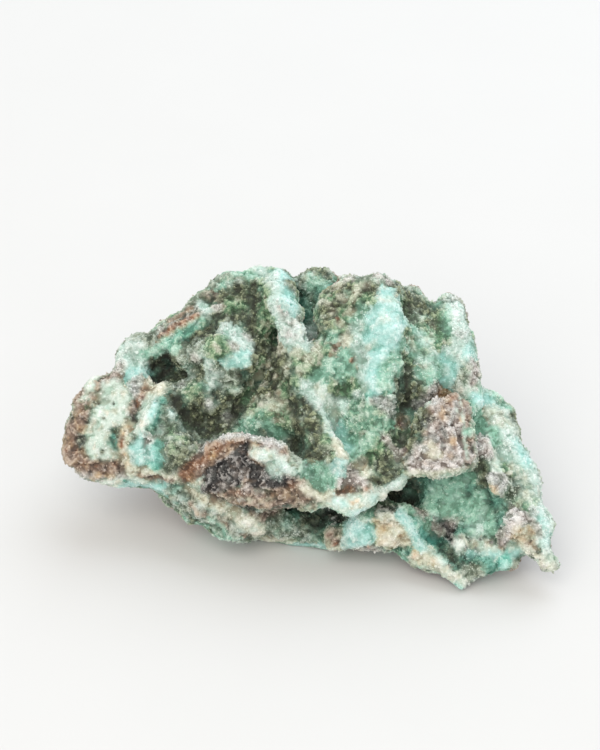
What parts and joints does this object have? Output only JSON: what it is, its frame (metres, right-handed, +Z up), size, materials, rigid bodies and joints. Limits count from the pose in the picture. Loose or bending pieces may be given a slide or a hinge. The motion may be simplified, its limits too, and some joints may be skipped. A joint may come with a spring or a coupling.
{
  "type": "chrysocolla specimen",
  "caption": "Rough mineral specimen: brown matrix stone under a blue-green chrysocolla crust with sugary quartz, ridged on top and broken flat below to rest on a shelf.",
  "frame": {"origin": "middle of the stone's bounding box in X and Y, on the plane it rests on", "axes": "+X along the stone towards its blunt, spurred end; +Y towards the back, away from the broken front ledge; +Z up"},
  "size_m": [0.0914, 0.0484, 0.0449],
  "materials": {
    "crusted_stone": "rough sugary crust"
  },
  "bodies": {
    "root": {"chrysocolla_specimen": "crusted_stone"}
  },
  "joints": []
}
